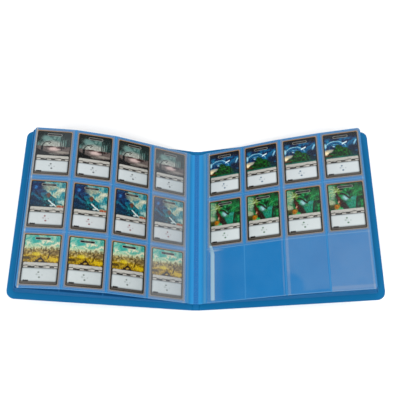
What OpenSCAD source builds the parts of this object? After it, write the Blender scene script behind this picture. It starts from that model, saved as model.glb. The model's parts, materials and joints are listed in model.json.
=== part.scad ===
// Side-loading pocket album for trading cards, lying open at its middle spread.
// Millimetres. X runs across the spread, Y runs up the page and Z is up.
// The origin is under the centre of the spine panel, on the surface it rests on.
// The left half belongs to the front cover and the right half to the back cover.

/* [Cards] */
// Width of a trading card
card_w = 63; // [56:0.5:64]
// Height of a trading card
card_h = 88; // [80:0.5:90]
// Thickness of a trading card
card_t = 0.3; // [0.2:0.05:0.3]
// Corner radius of a trading card
card_r = 3; // [1:0.5:6]
// How far the cards sit past the middle of their pockets, away from the spine
card_shift = 1; // [0:0.1:1.5]

/* [Pockets] */
// Width of one pocket, from weld line to weld line
pocket_w = 73; // [70:0.5:74]
// Height of one pocket, from weld line to weld line
pocket_h = 98.6; // [94:0.2:100]
// Width of a weld line
weld_line_w = 1.2; // [0.8:0.1:1.6]
// Thickness of the clear pocket film
film_t = 0.1; // [0.08:0.02:0.12]
// Thickness of the backing sheet of the two top leaves
backing_t = 0.25; // [0.2:0.05:0.3]

/* [Leaves] */
// Leaves on each side of the spread
leaves_per_side = 8; // [4:1:8]
// Plain margin between the centre weld and the first pocket
gutter_w = 19; // [18:0.5:24]
// Thickness of an empty lower leaf
leaf_t = 0.4; // [0.3:0.05:0.4]
// Height taken up by each lower leaf in the closed album
leaf_pitch = 0.55; // [0.5:0.01:0.56]
// Radius of a leaf's outer corners
leaf_r = 5; // [2:0.5:10]

/* [Cover] */
// Thickness of the cover sheet
cover_t = 0.8; // [0.6:0.05:0.8]
// Cover panel, from its crease to its outer edge
panel_w = 317; // [316:0.5:330]
// How far the cover reaches past the leaves at top and bottom
cover_margin = 10; // [4:0.5:14]
// Radius of the cover's outer corners
cover_r = 14; // [6:0.5:20]
// Distance between the two creases of the spine
spine_w = 12; // [12:0.5:16]
// Thickness of the living hinge left in each crease
crease_t = 0.3; // [0.2:0.05:0.4]
// Height of the centre weld's top above the table
weld_top = 5.9; // [5.9:0.1:7]

/* [Open pose] */
// Rise of each cover panel
cover_rise = 15; // [10:0.5:16]
// Rise of the lowest leaf
low_leaf_rise = 15.7; // [15.6:0.1:16.5]
// Rise of the flat leaf just under the top leaf on the right
high_leaf_rise = 19.9; // [18:0.1:20]
// Rise of the two inner columns of the two upper leaves on the left
left_inner_rise = 27; // [25:0.1:28]
// Rise of their third column
left_middle_rise = 17.9; // [17:0.1:20]
// Rise of their outer column
left_outer_rise = 8; // [8:0.1:16]
// Rise of the right top leaf's two inner columns
right_inner_rise = 22.8; // [22:0.1:25]
// Rise of the right top leaf's third column
right_middle_rise = 19.1; // [18:0.1:20]
// Rise of the right top leaf's outer column
right_outer_rise = 15.8; // [14:0.1:18]

/* [Hidden] */
$fn = 48;
rows = 3;
columns = 4;
leaf_h = rows * pocket_h;
leaf_w = columns * pocket_w;
cover_h = leaf_h + 2 * cover_margin;

// Heights inside the top leaf, measured from its pivot plane downwards
film_top = -0.1;
card_top = -0.3;
backing_top = -0.7;
backing_mid = backing_top - backing_t / 2;
backing_bottom = backing_top - backing_t;

// Lower leaves: plate heights, and the bundle of margins beside the weld
plate_start = -1.2;
plate_mid = plate_start - leaf_t / 2;
bundle_start = -1.0;
bundle_pitch = 0.32;
bundle_t = 0.25;

// Distances from the weld's axis
weld_half = 4;
bundle_in = 5.2;
bend_gap = 0.3;
crease_reach = 1.1;
panel_in = 1.2;

// Films stop short of the column's edges, where the sheets are welded flat
film_inset = 1.5;
film_rib = 0.6;

inner_w = gutter_w + 2 * pocket_w;

cover_blue = [0.05, 0.43, 0.65];
leaf_blue = [0.14, 0.46, 0.75];
gutter_blue = [0.2, 0.55, 0.8];
film_clear = [0.8, 0.9, 1, 0.25];
card_brown = [0.27, 0.2, 0.16];

// ---------- helpers ----------

// Draws its children on the left half (side -1) or the right half (side 1)
module on_side(side) {
    if (side < 0) mirror([1, 0, 0]) children();
    else children();
}

// Rectangle from x0 to x1 with both outer corners rounded, centred on Y
module outer_rounded(x0, x1, height, radius) {
    translate([x0, -height / 2]) square([x1 - x0 - radius, height]);
    translate([x1 - radius - 1, -height / 2 + radius]) square([radius + 1, height - 2 * radius]);
    for (y = [-1, 1]) translate([x1 - radius, y * (height / 2 - radius)]) circle(radius);
}

// Card outline centred on the origin
module card_outline() {
    square([card_w - 2 * card_r, card_h], center = true);
    square([card_w, card_h - 2 * card_r], center = true);
    for (x = [-1, 1], y = [-1, 1])
        translate([x * (card_w / 2 - card_r), y * (card_h / 2 - card_r)]) circle(card_r);
}

// Slab from x0 to x1 and z0 to z1, as tall as the leaf
module leaf_slab(x0, x1, z0, z1) {
    translate([x0, -leaf_h / 2, z0]) cube([x1 - x0, leaf_h, z1 - z0]);
}

// Leaf frame: X outwards along the leaf, Z away from its face, pivoting at the weld
module leaf_frame(rise) {
    translate([0, 0, weld_top]) rotate([0, -rise, 0]) children();
}

// Frame of the next segment, bent down by an angle at a line at the given level of the sheet
module bent(at, angle, level) {
    translate([at, 0, level]) rotate([0, angle, 0]) translate([0, 0, -level]) children();
}

function rises(side) = side < 0
    ? [left_inner_rise, left_middle_rise, left_outer_rise]
    : [right_inner_rise, right_middle_rise, right_outer_rise];

// Frame of an arched leaf's segment: 0 is its inner part, 1 its middle and 2 its outer part
module segment_frame(side, segment, level) {
    rise = rises(side);
    on_side(side) leaf_frame(rise[0]) {
        if (segment == 0) {
            children();
        }
        if (segment == 1) {
            bent(inner_w, rise[0] - rise[1], level) children();
        }
        if (segment == 2) {
            bent(inner_w, rise[0] - rise[1], level)
                bent(pocket_w, rise[1] - rise[2], level) children();
        }
    }
}

// Frame of column c, counted outwards from the spine, with X 0 at its inner weld line
module column_frame(side, c) {
    if (c <= 2) {
        segment_frame(side, 0, backing_mid)
            translate([gutter_w + (c - 1) * pocket_w, 0, 0]) children();
    } else {
        segment_frame(side, c - 2, backing_mid) children();
    }
}

function row_y(r) = (2 - r) * pocket_h;

// Rise of lower leaf k, from 2 just under the top leaf to the one on the cover
function leaf_rise(k) = high_leaf_rise
    - (high_leaf_rise - low_leaf_rise) * (k - 2) / (leaves_per_side - 2);

// ---------- cover ----------

module spine_panel() {
    half = spine_w / 2 - crease_reach;
    color(cover_blue) translate([-half, -cover_h / 2, 0]) cube([2 * half, cover_h, cover_t]);
}

module crease(side) {
    color(cover_blue) on_side(side)
        translate([spine_w / 2 - crease_reach, -cover_h / 2, 0])
            cube([2 * crease_reach, cover_h, crease_t]);
}

module cover_panel(side) {
    color(cover_blue) on_side(side)
        translate([spine_w / 2, 0, crease_t / 2]) rotate([0, -cover_rise, 0])
            translate([0, 0, -crease_t / 2]) linear_extrude(cover_t)
                outer_rounded(panel_in, panel_w, cover_h, cover_r);
}

// Bar in which all the leaves are welded to the spine
module spine_weld() {
    color(gutter_blue) translate([-weld_half, -leaf_h / 2, cover_t])
        cube([2 * weld_half, leaf_h, weld_top - 0.1 - cover_t]);
}

// ---------- top leaves ----------

module leaf_inner(side) {
    color(leaf_blue) segment_frame(side, 0, backing_mid)
        leaf_slab(bundle_in, inner_w - bend_gap, backing_bottom, backing_top);
}

module leaf_middle(side) {
    color(leaf_blue) segment_frame(side, 1, backing_mid)
        leaf_slab(bend_gap, pocket_w - bend_gap, backing_bottom, backing_top);
}

module leaf_outer(side) {
    color(leaf_blue) segment_frame(side, 2, backing_mid)
        translate([0, 0, backing_bottom]) linear_extrude(backing_t)
            outer_rounded(bend_gap, pocket_w, leaf_h, leaf_r);
}

// Clear film of one column: front sheet, its weld ribs and the flat sheet on the back
module film(side, c) {
    x1 = pocket_w - film_inset;
    color(film_clear) column_frame(side, c) {
        leaf_slab(film_inset, x1, film_top - film_t, film_top);
        leaf_slab(x1 - film_rib, x1, backing_top, film_top);
        for (i = [0:rows]) {
            y = -leaf_h / 2 + i * pocket_h;
            y0 = max(y - weld_line_w / 2, -leaf_h / 2);
            y1 = min(y + weld_line_w / 2, leaf_h / 2);
            translate([film_inset, y0, backing_top])
                cube([x1 - film_inset, y1 - y0, film_top - backing_top]);
        }
        leaf_slab(film_inset, x1 - leaf_r, backing_bottom - film_t, backing_bottom);
    }
}

// Card in row r and column c, pushed a little towards its pocket's closed side
module card(side, r, c) {
    color(card_brown) column_frame(side, c)
        translate([pocket_w / 2 + card_shift, row_y(r), card_top - card_t])
            linear_extrude(card_t) card_outline();
}

// ---------- lower leaves ----------

// Margin of a lower leaf, sloping from the weld's bundle to the plate
module sloping_margin(bundle, top) {
    translate([0, leaf_h / 2, 0]) rotate([90, 0, 0]) linear_extrude(leaf_h)
        polygon([[bundle_in, bundle], [gutter_w, top], [gutter_w, top - leaf_t],
                 [bundle_in, bundle - bundle_t]]);
}

// Empty leaf with a flat plate of pockets
module lower_leaf(side, k) {
    top = plate_start - (k - 2) * leaf_pitch;
    color(leaf_blue) on_side(side) leaf_frame(leaf_rise(k)) {
        translate([0, 0, top - leaf_t]) linear_extrude(leaf_t)
            outer_rounded(gutter_w, gutter_w + leaf_w, leaf_h, leaf_r);
        sloping_margin(bundle_start - (k - 2) * bundle_pitch, top);
    }
}

// Second leaf on the left: empty, and arched like the top leaf just above it
module second_leaf(segment) {
    color(leaf_blue) segment_frame(-1, segment, plate_mid) {
        if (segment == 0) {
            leaf_slab(gutter_w, inner_w - bend_gap, plate_start - leaf_t, plate_start);
            sloping_margin(bundle_start, plate_start);
        }
        if (segment == 1) {
            leaf_slab(bend_gap, pocket_w - bend_gap, plate_start - leaf_t, plate_start);
        }
        if (segment == 2) {
            translate([0, 0, plate_start - leaf_t]) linear_extrude(leaf_t)
                outer_rounded(bend_gap, pocket_w, leaf_h, leaf_r);
        }
    }
}

// ---------- the album ----------

spine_panel();
crease(-1);  // front_crease
crease(1);  // back_crease
spine_weld();
cover_panel(-1);  // front_cover
cover_panel(1);  // back_cover
leaf_inner(-1);  // left_leaf_1_inner
leaf_middle(-1);  // left_leaf_1_middle
leaf_outer(-1);  // left_leaf_1_outer
second_leaf(0);  // left_leaf_2_inner
second_leaf(1);  // left_leaf_2_middle
second_leaf(2);  // left_leaf_2_outer
leaf_inner(1);  // right_leaf_1_inner
leaf_middle(1);  // right_leaf_1_middle
leaf_outer(1);  // right_leaf_1_outer
for (k = [3:leaves_per_side])
    lower_leaf(-1, k);
for (k = [2:leaves_per_side])
    lower_leaf(1, k);
for (c = [1:columns]) {
    film(-1, c);
    film(1, c);
    for (r = [1:rows])
        card(-1, r, c);
    for (r = [1:rows - 1])
        card(1, r, c);
}
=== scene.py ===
import json
import math

import bpy
import numpy as np
from mathutils import Matrix, Vector


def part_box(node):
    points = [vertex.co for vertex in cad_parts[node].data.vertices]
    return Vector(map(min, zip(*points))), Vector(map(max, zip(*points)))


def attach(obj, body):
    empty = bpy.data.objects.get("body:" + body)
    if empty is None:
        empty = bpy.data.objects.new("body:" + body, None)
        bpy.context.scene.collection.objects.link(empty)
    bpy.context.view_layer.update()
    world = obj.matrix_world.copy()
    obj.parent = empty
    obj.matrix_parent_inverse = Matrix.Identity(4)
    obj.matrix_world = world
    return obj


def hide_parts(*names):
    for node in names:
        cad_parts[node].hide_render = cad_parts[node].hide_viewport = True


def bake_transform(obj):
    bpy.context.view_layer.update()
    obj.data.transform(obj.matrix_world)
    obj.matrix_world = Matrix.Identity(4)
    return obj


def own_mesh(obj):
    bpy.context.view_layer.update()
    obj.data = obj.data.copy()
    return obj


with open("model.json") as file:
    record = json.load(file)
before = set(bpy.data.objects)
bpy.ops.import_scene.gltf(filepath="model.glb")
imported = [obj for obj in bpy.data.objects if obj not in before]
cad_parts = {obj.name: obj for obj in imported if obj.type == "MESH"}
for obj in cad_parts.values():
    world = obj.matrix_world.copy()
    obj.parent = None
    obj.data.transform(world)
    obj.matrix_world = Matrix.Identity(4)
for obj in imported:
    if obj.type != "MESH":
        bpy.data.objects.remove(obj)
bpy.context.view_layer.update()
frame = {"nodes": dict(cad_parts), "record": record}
RECORD = frame["record"]
JOINTS = {j["name"]: j for j in RECORD["behaviour"]["joints"]}
MM = 0.001

# ------------------------ camera

# fitted to the corners of the cards
TARGET = Vector((0.00625, 0.0523, JOINTS["left_leaf_2_fold"]["pos_m"][2]))
ELEVATION, YAW, ROLL = math.radians(66.50), math.radians(0.86), math.radians(-0.64)
DISTANCE = 1.1549
LENS_MM, SENSOR_MM = 54.96, 36
back = Vector((math.sin(YAW) * math.cos(ELEVATION), -math.cos(YAW) * math.cos(ELEVATION), math.sin(ELEVATION)))
level = Vector((math.cos(YAW), math.sin(YAW), 0))
upright = back.cross(level)
right = level * math.cos(ROLL) + upright * math.sin(ROLL)
up = upright * math.cos(ROLL) - level * math.sin(ROLL)
camera_data = bpy.data.cameras.new("camera")
camera_data.lens, camera_data.sensor_width = LENS_MM, SENSOR_MM
camera_data.clip_end = 20
camera = bpy.data.objects.new("camera", camera_data)
bpy.context.collection.objects.link(camera)
turn = Matrix((right, up, back)).transposed().to_4x4()
camera.matrix_world = Matrix.Translation(TARGET + back * DISTANCE) @ turn
bpy.context.scene.camera = camera

# ------------------------ shader helpers

ASPECT = 1.4  # height of a card over its width


def hexa(code, gain=0.70):
    """Linear colour of an sRGB hex code as it looks in the light here, times gain to give its reflectance."""
    out = []
    for i in (0, 2, 4):
        v = int(code[i:i + 2], 16) / 255
        out.append((v / 12.92 if v <= 0.04045 else ((v + 0.055) / 1.055) ** 2.4) * gain)
    return (*out, 1.0)


class Value:
    """A shader socket that takes part in arithmetic."""

    def __init__(self, tree, socket):
        self.tree, self.socket = tree, socket

    def __add__(self, o):
        return self.tree.math("ADD", self, o)

    def __radd__(self, o):
        return self.tree.math("ADD", o, self)

    def __sub__(self, o):
        return self.tree.math("SUBTRACT", self, o)

    def __rsub__(self, o):
        return self.tree.math("SUBTRACT", o, self)

    def __mul__(self, o):
        return self.tree.math("MULTIPLY", self, o)

    def __rmul__(self, o):
        return self.tree.math("MULTIPLY", o, self)

    def __truediv__(self, o):
        return self.tree.math("DIVIDE", self, o)

    def __abs__(self):
        return self.tree.math("ABSOLUTE", self)


class Tree:
    """A new material and short names for the nodes that its pattern needs."""

    def __init__(self, name):
        self.material = bpy.data.materials.new(name)
        self.material.use_nodes = True
        self.nodes, self.links = self.material.node_tree.nodes, self.material.node_tree.links
        self.shader = self.nodes["Principled BSDF"]
        self.uv = self.nodes.new("ShaderNodeTexCoord").outputs["UV"]
        self.place = self.nodes.new("ShaderNodeTexCoord").outputs["Object"]
        split = self.nodes.new("ShaderNodeSeparateXYZ")
        self.links.new(self.uv, split.inputs[0])
        self.u0, self.v0 = Value(self, split.outputs[0]), Value(self, split.outputs[1])
        self.u, self.v, self.art = self.u0, self.v0, None

    def put(self, socket, value):
        """Link or set a socket; a string is the hex code of a colour."""
        if isinstance(value, str):
            value = hexa(value)
        if isinstance(value, Value):
            value = value.socket
        if isinstance(value, bpy.types.NodeSocket):
            self.links.new(value, socket)
        else:
            socket.default_value = value

    def math(self, operation, *values, clamp=False):
        node = self.nodes.new("ShaderNodeMath")
        node.operation, node.use_clamp = operation, clamp
        for socket, value in zip(node.inputs, values):
            self.put(socket, value)
        return Value(self, node.outputs[0])

    def step(self, x, low, high, a=0.0, b=1.0):
        """Smooth step of x from low to high, giving a to b."""
        node = self.nodes.new("ShaderNodeMapRange")
        node.interpolation_type = "SMOOTHSTEP"
        for socket, value in zip(node.inputs, (x, low, high, a, b)):
            self.put(socket, value)
        return Value(self, node.outputs[0])

    def vector(self, x, y, z=0.0):
        node = self.nodes.new("ShaderNodeCombineXYZ")
        for socket, value in zip(node.inputs, (x, y, z)):
            self.put(socket, value)
        return node.outputs[0]

    def noise(self, where, scale, detail=3.0, rough=0.55, warp=0.0, gain=0.0):
        """Noise round 0.5; with a gain it is stretched and held to 0 to 1."""
        node = self.nodes.new("ShaderNodeTexNoise")
        self.put(node.inputs["Vector"], where)
        for key, value in (("Scale", scale), ("Detail", detail), ("Roughness", rough), ("Distortion", warp)):
            node.inputs[key].default_value = value
        value = Value(self, node.outputs[0])
        return self.math("MULTIPLY_ADD", value, gain, 0.5 - gain / 2, clamp=True) if gain else value

    def mix(self, factor, a, b):
        node = self.nodes.new("ShaderNodeMix")
        node.data_type = "RGBA"
        node.clamp_factor = True
        for socket, value in ((node.inputs[0], factor), (node.inputs[6], a), (node.inputs[7], b)):
            self.put(socket, value)
        return node.outputs[2]

    def ramp(self, x, *stops):
        """Colour ramp through (position, colour) stops."""
        node = self.nodes.new("ShaderNodeValToRGB")
        node.color_ramp.interpolation = "EASE"
        while len(node.color_ramp.elements) < len(stops):
            node.color_ramp.elements.new(0.5)
        for element, (position, colour) in zip(node.color_ramp.elements, stops):
            element.position, element.color = position, hexa(colour) if isinstance(colour, str) else colour
        self.put(node.inputs[0], x)
        return node.outputs[0]

    def bump(self, height, strength, distance):
        node = self.nodes.new("ShaderNodeBump")
        node.inputs["Strength"].default_value = strength
        node.inputs["Distance"].default_value = distance
        self.put(node.inputs["Height"], height)
        self.links.new(node.outputs[0], self.shader.inputs["Normal"])

    def set(self, **values):
        for key, value in values.items():
            self.put(self.shader.inputs[key.replace("_", " ")], value)
        return self.material

    def warp(self, amount, scale):
        """Shift u and v by noise so that the shapes drawn after it get a painted edge."""
        for k, key in enumerate(("u", "v")):
            where = self.vector(self.u0 + 3.7 * k, self.v0 * ASPECT, 2.3 * k)
            offset = (self.noise(where, scale, 4.0, 0.6) - 0.5) * amount
            setattr(self, key, getattr(self, key + "0") + offset)

    def contrast(self, colour, gamma, gain, saturation=1.0):
        bent = self.nodes.new("ShaderNodeGamma")
        self.put(bent.inputs[0], colour)
        bent.inputs[1].default_value = gamma
        tone = self.nodes.new("ShaderNodeHueSaturation")
        self.put(tone.inputs["Color"], bent.outputs[0])
        tone.inputs["Value"].default_value, tone.inputs["Saturation"].default_value = gain, saturation
        return tone.outputs[0]

    def straight(self):
        """End the warp."""
        self.u, self.v = self.u0, self.v0

    def facing(self, blend):
        """Fresnel weight, which grows where the surface turns away from the eye."""
        layer = self.nodes.new("ShaderNodeLayerWeight")
        layer.inputs["Blend"].default_value = blend
        return Value(self, layer.outputs["Fresnel"])

    # shapes on the surface, each 1 inside and 0 outside
    def blob(self, u, v, ru, rv, soft=0.5):
        du, dv = self.u - u, self.v - v
        d = self.math("SQRT", (du / ru) * (du / ru) + (dv / rv) * (dv / rv))
        return self.step(d, 1.0 + soft / 2, 1.0 - soft / 2)

    def panel(self, u0, u1, v0, v1, radius=0.03, soft=0.012):
        """Rounded rectangle, with v stretched by the card's aspect."""
        du = abs(self.u - (u0 + u1) / 2) - ((u1 - u0) / 2 - radius)
        dv = (abs(self.v - (v0 + v1) / 2) - ((v1 - v0) / 2 - radius / ASPECT)) * ASPECT
        du, dv = self.math("MAXIMUM", du, 0.0), self.math("MAXIMUM", dv, 0.0)
        d = self.math("SQRT", du * du + dv * dv)
        return self.step(d, radius + soft / 2, radius - soft / 2)

    def line(self, level_of_u, width, soft=0.01):
        """Band round the curve v = level_of_u."""
        d = abs(self.v - level_of_u)
        return self.step(d, width + soft, width - soft * 0.3)

    def stroke(self, u0, v0, u1, v1, width, soft=0.008):
        """Straight stroke with round ends, v being stretched by the card's aspect."""
        du, dv = u1 - u0, (v1 - v0) * ASPECT
        pu, pv = self.u - u0, (self.v - v0) * ASPECT
        along = self.math("MULTIPLY", pu * du + pv * dv, 1 / (du * du + dv * dv), clamp=True)
        eu, ev = pu - along * du, pv - along * dv
        d = self.math("SQRT", eu * eu + ev * ev)
        return self.step(d, width + soft, width - soft * 0.3)

    def over(self, mask, tone):
        """Lay a tone over the picture so far where mask is 1."""
        self.art = self.mix(mask, self.art, tone)

    def spots(self, *rows):
        """Soft ellipses, each (u, v, radius in u, radius in v, softness, share, tone)."""
        for u, v, ru, rv, soft, share, tone in rows:
            self.over(self.blob(u, v, ru, rv, soft) * share, tone)


# ------------------------ frames of the leaf segments


class Segment:
    """Plane of one leaf segment: a runs outwards from its origin, b stands off its face."""

    def __init__(self, side, origin, axis):
        self.side = side
        self.a = Vector((-axis[0], 0, -axis[2])).normalized()
        self.b = Vector((-side * self.a.z, 0, side * self.a.x))
        self.origin = origin

    def point(self, a, y, b):
        return self.origin + self.a * a + self.b * b + Vector((0, y, 0))

    def span(self, node):
        """Lowest and highest a, y and b of a CAD node."""
        o = frame["nodes"][node]
        p = np.array([v.co for v in o.data.vertices], float) - np.array(self.origin)
        rows = [p @ np.array(self.a), p[:, 1], p @ np.array(self.b)]
        return [(float(r.min()), float(r.max())) for r in rows]


WELD = Vector(JOINTS["left_leaf_2_fold"]["pos_m"])
SIDES = {"left": -1, "right": 1}
SEGMENTS = {}
for name, side in SIDES.items():
    first = Segment(side, WELD, JOINTS[f"{name}_card_1_1_slide"]["axis"])
    line_1 = Vector(JOINTS[f"{name}_leaf_1_bend_1"]["pos_m"])
    line_2 = Vector(JOINTS[f"{name}_leaf_1_bend_2"]["pos_m"])
    FOLD_B = (line_1 - WELD).dot(first.b)
    INNER_W = (line_1 - WELD).dot(first.a)
    second = Segment(side, line_1, JOINTS[f"{name}_card_1_3_slide"]["axis"])
    second.origin = line_1 - second.b * FOLD_B
    third = Segment(side, line_2, JOINTS[f"{name}_card_1_4_slide"]["axis"])
    third.origin = line_2 - third.b * FOLD_B
    POCKET_W = (line_2 - line_1).dot(second.a)
    SEGMENTS[name] = [first, second, third]
GUTTER = INNER_W - 2 * POCKET_W
(_, LEAF_Y, BACKING_B) = SEGMENTS["left"][0].span("left_leaf_1_inner")
LEAF_H = LEAF_Y[1] - LEAF_Y[0]
POCKET_H = LEAF_H / 3
LEAF_OUT = GUTTER + 4 * POCKET_W
PARTS = ["inner", "middle", "outer"]
STARTS = [0.0, INNER_W, INNER_W + POCKET_W]
BEND = 4.5 * MM

# ------------------------ mesh helpers


def make(name, verts, faces, uvs, material, smooth=30):
    mesh = bpy.data.meshes.new(name)
    mesh.from_pydata([tuple(v) for v in verts], [], faces)
    layer = mesh.uv_layers.new(name="UVMap")
    index = np.empty(len(mesh.loops), np.int32)
    mesh.loops.foreach_get("vertex_index", index)
    layer.data.foreach_set("uv", np.asarray(uvs, np.float32)[index].ravel())
    mesh.polygons.foreach_set("use_smooth", [True] * len(mesh.polygons))
    mesh.set_sharp_from_angle(angle=math.radians(smooth))
    mesh.materials.append(material)
    mesh.update()
    o = bpy.data.objects.new(name, mesh)
    bpy.context.collection.objects.link(o)
    return o


def grid_faces(nx, ny, flip=False):
    """Quads of a grid whose points run along Y first."""
    quads = []
    for i in range(nx):
        for k in range(i * (ny + 1), i * (ny + 1) + ny):
            q = (k, k + ny + 1, k + ny + 2, k + 1)
            quads.append(tuple(reversed(q)) if flip else q)
    return quads


def plate(name, rows, thickness, material, half, ny=30, round_out=0.0, smooth=30, inner_t=None):
    """Sheet lofted along Y from rows of (x, z, nx, nz, a): top face, rim and underside.

    half is half its length in Y and round_out the radius of the corners at the far end. With inner_t the
    sheet is that thick over its first half and grows to its full thickness over the second."""
    last, first = rows[-1][4], rows[0][4]
    ts = np.linspace(-1, 1, ny + 1)
    verts, uvs, top, low = [], [], [], []
    for x, z, nx, nz, a in rows:
        deep = thickness
        if inner_t is not None:
            share = min(max((a - first) / (last - first) * 2 - 1, 0.0), 1.0)
            deep = inner_t + (thickness - inner_t) * share
        reach = half
        if round_out and last - a < round_out:
            d = round_out - (last - a)
            reach = half - (round_out - math.sqrt(max(round_out ** 2 - d * d, 0.0)))
        for lines, depth in ((top, 0.0), (low, deep)):
            lines.append(range(len(verts), len(verts) + ny + 1))
            verts += [(x - nx * depth, t * reach, z - nz * depth) for t in ts]
            uvs += [(a, t * reach) for t in ts]
    faces, flip = [], rows[-1][0] < rows[0][0]
    n, m = len(rows), len(ts)

    def quad(p, q, r, s):
        faces.append((p, s, r, q) if flip else (p, q, r, s))

    for i in range(n - 1):
        for j in range(m - 1):
            quad(top[i][j], top[i + 1][j], top[i + 1][j + 1], top[i][j + 1])
            quad(low[i][j], low[i][j + 1], low[i + 1][j + 1], low[i + 1][j])
        quad(top[i][0], low[i][0], low[i + 1][0], top[i + 1][0])
        quad(top[i][-1], top[i + 1][-1], low[i + 1][-1], low[i][-1])
    for j in range(m - 1):
        quad(top[0][j], top[0][j + 1], low[0][j + 1], low[0][j])
        quad(top[-1][j], low[-1][j], low[-1][j + 1], top[-1][j + 1])
    return make(name, verts, faces, uvs, material, smooth)


def flat_rows(segment, a0, a1, b, count, start):
    """Rows of a flat stretch of a segment, with a counted from the weld."""
    rows = []
    for a in np.linspace(a0, a1, count + 1):
        p = segment.point(float(a), 0, b)
        rows.append((p.x, p.z, segment.b.x, segment.b.z, start + float(a)))
    return rows


def curve_rows(p0, t0, p1, t1, a0, a1, side, count=12, tension=1.0):
    """Rows of a smooth curve in the X-Z plane from p0 along t0 to p1 along t1."""
    rows, length = [], (p1 - p0).length * tension
    for t in np.linspace(0, 1, count + 1):
        h = (2 * t ** 3 - 3 * t ** 2 + 1, t ** 3 - 2 * t ** 2 + t, -2 * t ** 3 + 3 * t ** 2, t ** 3 - t ** 2)
        g = (6 * t ** 2 - 6 * t, 3 * t ** 2 - 4 * t + 1, 6 * t - 6 * t ** 2, 3 * t ** 2 - 2 * t)
        p = p0 * h[0] + t0 * (h[1] * length) + p1 * h[2] + t1 * (h[3] * length)
        d = p0 * g[0] + t0 * (g[1] * length) + p1 * g[2] + t1 * (g[3] * length)
        d.normalize()
        rows.append((p.x, p.z, -side * d.z, side * d.x, a0 + (a1 - a0) * float(t)))
    return rows


# ------------------------ materials


def sheet_material(name, base, pale, gutter, pocket_sheen):
    """Coloured polypropylene sheet with knurled weld lines between its pockets, and a painted highlight along
    its edges.

    UV is metres from the weld and up the page. The margin has the gutter's colour, and pales near the pockets
    to a painted sheen where it rises steeply to them."""
    t = Tree(name)
    where = t.vector(t.u, t.v)
    cloud = t.noise(where, 14.0, 4.0, 0.6)
    grain = t.noise(where, 900.0, 2.0, 0.6)
    column = t.math("FRACT", (t.u - GUTTER) / POCKET_W + 8.5) - 0.5
    row = t.math("FRACT", (t.v - LEAF_H / 2) / POCKET_H + 8.5) - 0.5
    upright = t.step(abs(column) * POCKET_W, 1.1 * MM, 0.6 * MM)
    cross = t.step(abs(row) * POCKET_H, 1.1 * MM, 0.6 * MM)
    inside = t.step(t.u, GUTTER - 1.5 * MM, GUTTER)
    weld = t.math("MAXIMUM", upright, cross) * inside
    knurl = t.math("SINE", t.v * 2600.0) * t.math("SINE", t.u * 2600.0) * 0.5 + 0.5
    colour = t.mix(t.step(cloud, 0.25, 0.75, 0.0, 0.22), base, pale)
    # painted sheen: the margin pales towards the pockets, where it rises steeply
    margin = t.mix(t.step(t.u, GUTTER - 9 * MM, GUTTER - 1 * MM), gutter, pocket_sheen)
    colour = t.mix((1 - inside) * 0.9, colour, margin)
    colour = t.mix(weld * (0.35 + 0.4 * knurl), colour, pale)
    # painted highlight along the sheet's top, bottom and outer edges
    edge = abs(t.v) - (LEAF_H / 2 - 2.2 * MM)
    far = t.step(t.u, LEAF_OUT - 2.4 * MM, LEAF_OUT - 1 * MM)
    rim = t.math("MAXIMUM", t.step(edge, 0.0, 1.2 * MM), far)
    colour = t.mix(rim * 0.4, colour, pale)
    t.bump(weld * knurl * 0.6 + grain * 0.25 + cloud * 0.3, 0.35, 0.0004)
    return t.set(Base_Color=colour, Roughness=0.30 + 0.14 * cloud + 0.12 * weld, Specular_IOR_Level=0.2)


LEAF = sheet_material("leaf_sheet", "0a78bc", "4a98d2", "2a97d8", "5a9ecb")
# darker copy of the leaf sheet for the leaves under the top ones: painted shade between the stacked leaves
SHADED_LOWER_SHEET = sheet_material("lower_leaf_sheet", "00487e", "2f84c4", "0f6aa6", "0f6aa6")


def cover_material():
    """Blue pebbled plastic with faint scuffs along the page."""
    t = Tree("cover_sheet")
    where = t.vector(t.u, t.v)
    cloud = t.noise(where, 9.0, 4.0, 0.6)
    grain = t.noise(where, 700.0, 3.0, 0.65)
    pebble = t.nodes.new("ShaderNodeTexVoronoi")
    pebble.inputs["Scale"].default_value = 1100.0
    t.put(pebble.inputs["Vector"], where)
    scuff = t.noise(t.vector(t.u * 3.0, t.v * 60.0), 6.0, 6.0, 0.7)
    colour = t.mix(cloud, "006ca8", "047ab4")
    colour = t.mix(t.step(scuff, 0.66, 0.8, 0.0, 0.2), colour, "3f9bd0")
    t.bump(Value(t, pebble.outputs["Distance"]) * 0.6 + grain * 0.5, 0.4, 0.0003)
    return t.set(Base_Color=colour, Roughness=0.42 + 0.2 * grain, Specular_IOR_Level=0.14)


def weld_material():
    """Plastic pressed into a diamond knurl."""
    t = Tree("centre_weld")
    where = t.vector(t.u, t.v)
    cloud = t.noise(where, 30.0, 3.0, 0.5)
    knurl = t.math("SINE", (t.u + t.v * 0.77) * 1900.0) * t.math("SINE", (t.u - t.v * 0.77) * 1900.0)
    fine = t.noise(where, 1200.0, 2.0, 0.6)
    colour = t.mix(t.step(knurl, -0.5, 0.6), "045fa8", "158bd4")
    colour = t.mix(cloud * 0.3, colour, "1478bc")
    t.bump(knurl * 0.6 + fine * 0.2, 0.6, 0.0006)
    return t.set(Base_Color=colour, Roughness=0.34 + 0.2 * cloud, Specular_IOR_Level=0.3)


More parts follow.
